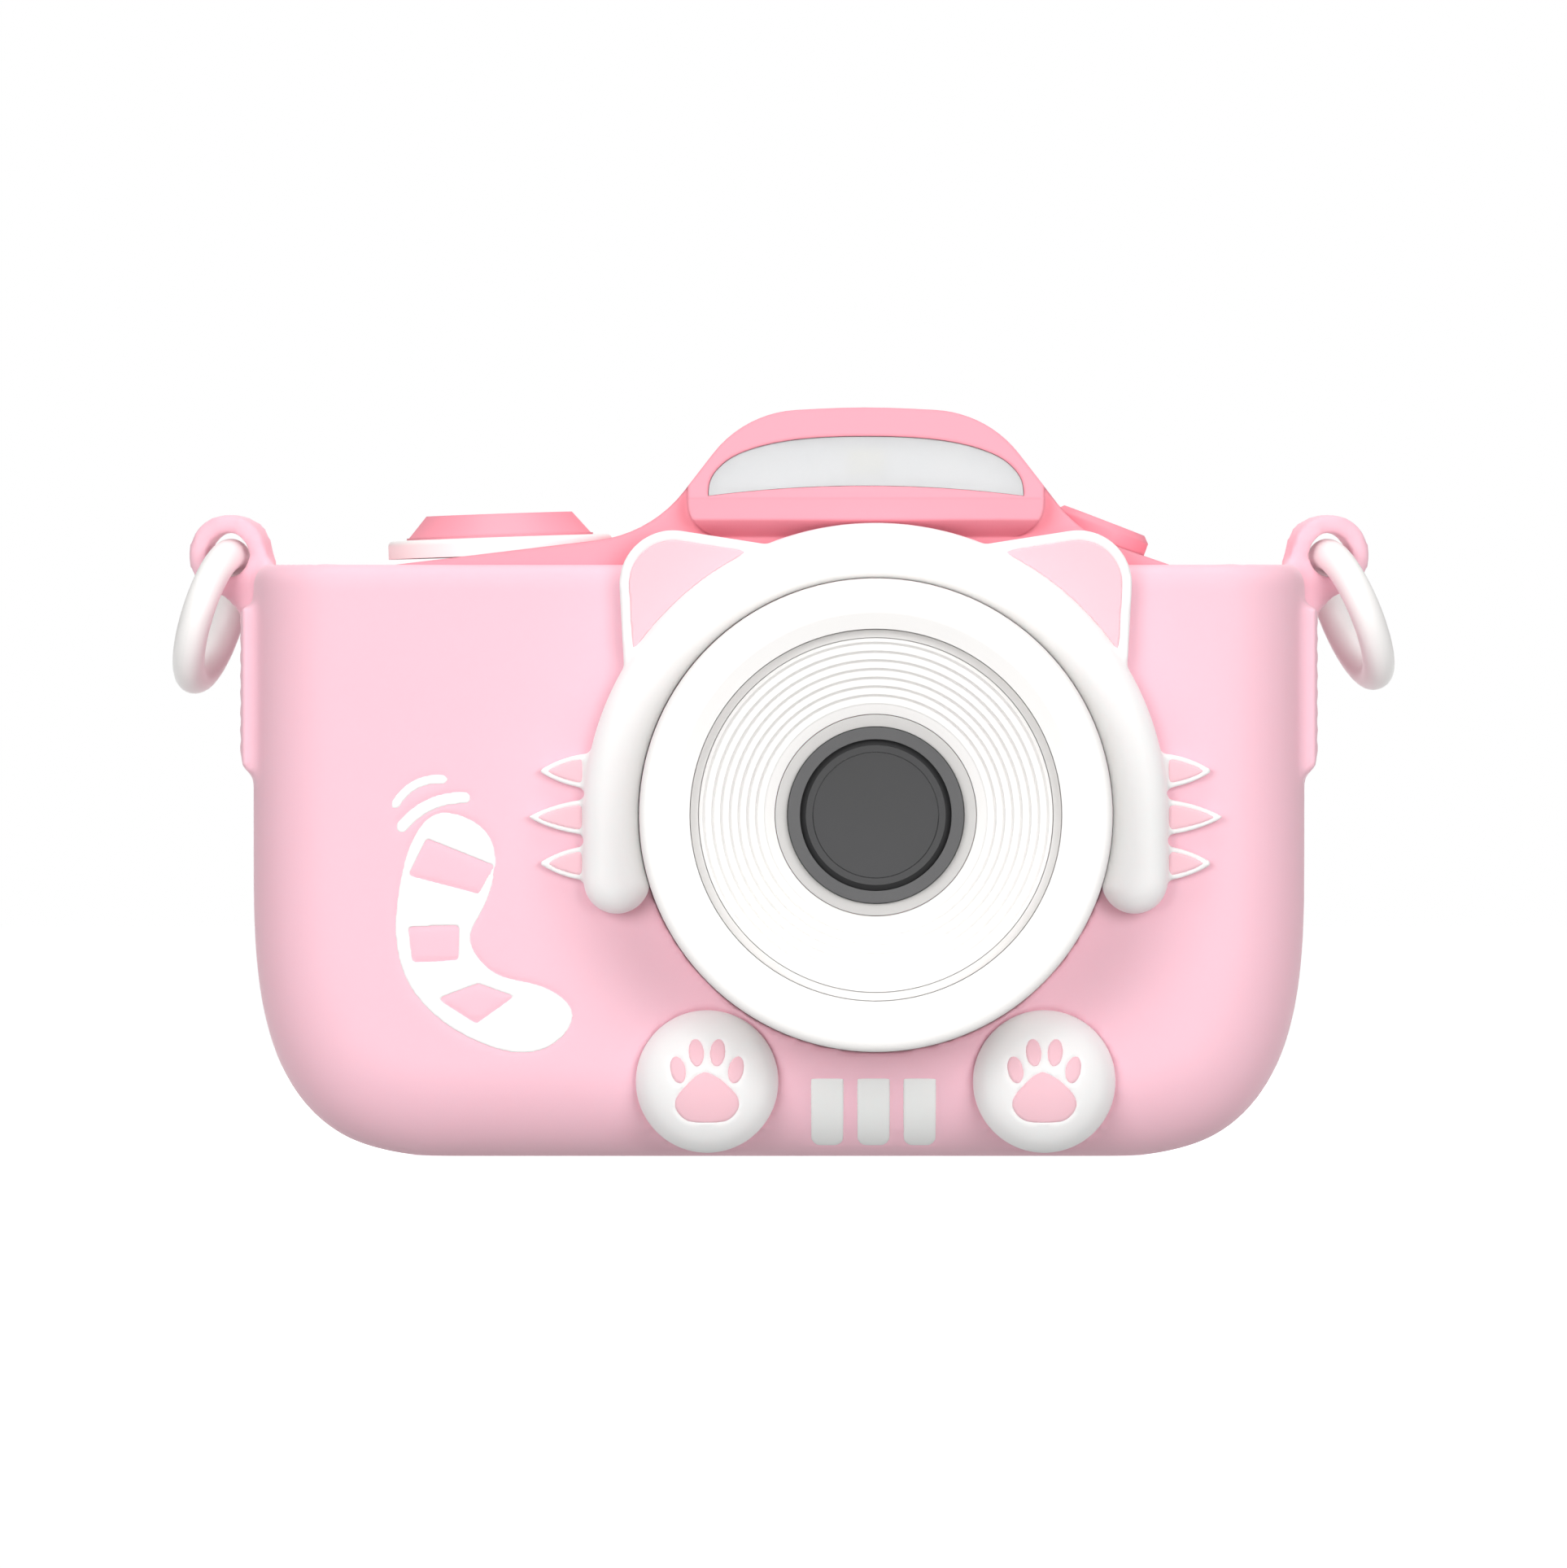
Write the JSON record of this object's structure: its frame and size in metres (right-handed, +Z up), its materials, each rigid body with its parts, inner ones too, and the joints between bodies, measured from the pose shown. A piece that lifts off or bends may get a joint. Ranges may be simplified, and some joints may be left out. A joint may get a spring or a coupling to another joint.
{
  "type": "kids digital camera",
  "caption": "Toy digital camera in a soft jacket with a cat-face lens surround, flash hump, shutter button, strap rings, rear screen and keys.",
  "frame": {"origin": "centre of the flat base, midway between the jacket's sides", "axes": "+X to the right as seen from the front, the lens faces -Y, +Z up"},
  "size_m": [0.1141, 0.0459, 0.0698],
  "materials": {
    "jacket_silicone": "soft satin, moulded",
    "white_silicone": "soft satin, moulded",
    "shell_abs": "satin, moulded",
    "white_abs": "satin, moulded",
    "grey_abs": "fine satin",
    "print_ink": "satin inlay",
    "bar_silicone": "satin inlay",
    "dark_abs": "satin",
    "black_plastic": "fine matte",
    "lens_glass": "polished",
    "clear_pc": "polished clear",
    "pearl_abs": "pearl",
    "lamp_resin": "phosphor resin",
    "screen_acrylic": "hard coated",
    "display_module": "matte",
    "circuit_board": "solder mask",
    "chip_epoxy": "matte epoxy",
    "plated_steel": "zinc plated",
    "flex_film": "polyimide film",
    "cell_foil": "foil pouch",
    "foam": "open-cell foam",
    "card_plastic": "matte",
    "speaker_cone": "paper cone"
  },
  "bodies": {
    "camera": {"silicone_jacket": "jacket_silicone", "cat_head": "white_silicone", "ear_inlays": "print_ink", "whisker_inlays": "print_ink", "left_paw": "white_silicone", "right_paw": "white_silicone", "paw_prints": "print_ink", "tail_inlay": "white_silicone", "tail_strokes": "white_silicone", "front_bars": "bar_silicone", "front_housing": "shell_abs", "rear_housing": "shell_abs", "housing_screws": "plated_steel", "lens_barrel": "white_abs", "lens_screws": "plated_steel", "step_ring": "grey_abs", "light_baffle": "white_abs", "hub_ring": "grey_abs", "lens_bezel": "dark_abs", "lens_window": "lens_glass", "lens_holder": "black_plastic", "lens_element": "clear_pc", "image_sensor": "chip_epoxy", "sensor_board": "circuit_board", "sensor_cable": "flex_film", "flash_window": "clear_pc", "flash_reflector": "pearl_abs", "flash_lamp": "lamp_resin", "flash_board": "circuit_board", "shutter_ring": "white_abs", "top_switches": "black_plastic", "top_switch_boards": "circuit_board", "key_board": "circuit_board", "key_switches": "plated_steel", "screen_window": "screen_acrylic", "lcd_panel": "display_module", "speaker": "speaker_cone", "main_board": "circuit_board", "processor": "chip_epoxy", "usb_socket": "plated_steel", "card_socket": "plated_steel", "memory_card": "card_plastic", "battery": "cell_foil", "battery_pad": "foam", "microphone": "black_plastic", "rear_lens_ring": "white_abs", "rear_lens_window": "lens_glass", "rear_camera": "black_plastic"},
    "shutter": {"shutter_button": "shell_abs"},
    "mode": {"mode_button": "shell_abs"},
    "port_door_body": {"port_door": "jacket_silicone"},
    "left_ring": {"left_strap_ring": "white_abs"},
    "right_ring": {"right_strap_ring": "white_abs"},
    "up": {"up_key": "white_abs"},
    "down": {"down_key": "white_abs"},
    "left": {"left_key": "white_abs"},
    "right": {"right_key": "white_abs"},
    "ok": {"ok_key": "white_abs"},
    "menu": {"menu_key": "white_abs"},
    "play": {"play_key": "white_abs"}
  },
  "joints": [
    {"name": "shutter_press", "type": "slide", "parent": "camera", "child": "shutter", "axis": [0.0349, 0, -0.9994], "range_m": [0, 0.001], "stiffness_N_per_m": 1200},
    {"name": "mode_press", "type": "slide", "parent": "camera", "child": "mode", "axis": [-0.3584, 0, -0.9336], "range_m": [0, 0.0008], "stiffness_N_per_m": 1200},
    {"name": "up_press", "type": "slide", "parent": "camera", "child": "up", "axis": [0, -1, 0], "range_m": [0, 0.0005], "stiffness_N_per_m": 1500},
    {"name": "down_press", "type": "slide", "parent": "camera", "child": "down", "axis": [0, -1, 0], "range_m": [0, 0.0005], "stiffness_N_per_m": 1500},
    {"name": "left_press", "type": "slide", "parent": "camera", "child": "left", "axis": [0, -1, 0], "range_m": [0, 0.0005], "stiffness_N_per_m": 1500},
    {"name": "right_press", "type": "slide", "parent": "camera", "child": "right", "axis": [0, -1, 0], "range_m": [0, 0.0005], "stiffness_N_per_m": 1500},
    {"name": "ok_press", "type": "slide", "parent": "camera", "child": "ok", "axis": [0, -1, 0], "range_m": [0, 0.0005], "stiffness_N_per_m": 1500},
    {"name": "menu_press", "type": "slide", "parent": "camera", "child": "menu", "axis": [0, -1, 0], "range_m": [0, 0.0005], "stiffness_N_per_m": 1500},
    {"name": "play_press", "type": "slide", "parent": "camera", "child": "play", "axis": [0, -1, 0], "range_m": [0, 0.0005], "stiffness_N_per_m": 1500},
    {"name": "left_ring_swing", "type": "hinge", "parent": "camera", "child": "left_ring", "pos_m": [-0.0512, 0.002, 0.0561], "axis": [-0.2419, -0.9703, 0], "range_deg": [-150, 1]},
    {"name": "right_ring_swing", "type": "hinge", "parent": "camera", "child": "right_ring", "pos_m": [0.0512, 0.002, 0.0561], "axis": [0.2419, -0.9703, 0], "range_deg": [-4, 145]},
    {"name": "port_door_swing", "type": "hinge", "parent": "camera", "child": "port_door_body", "pos_m": [0.0476, 0.0052, 0.0169], "axis": [0, 1, 0], "range_deg": [0, 100]}
  ]
}
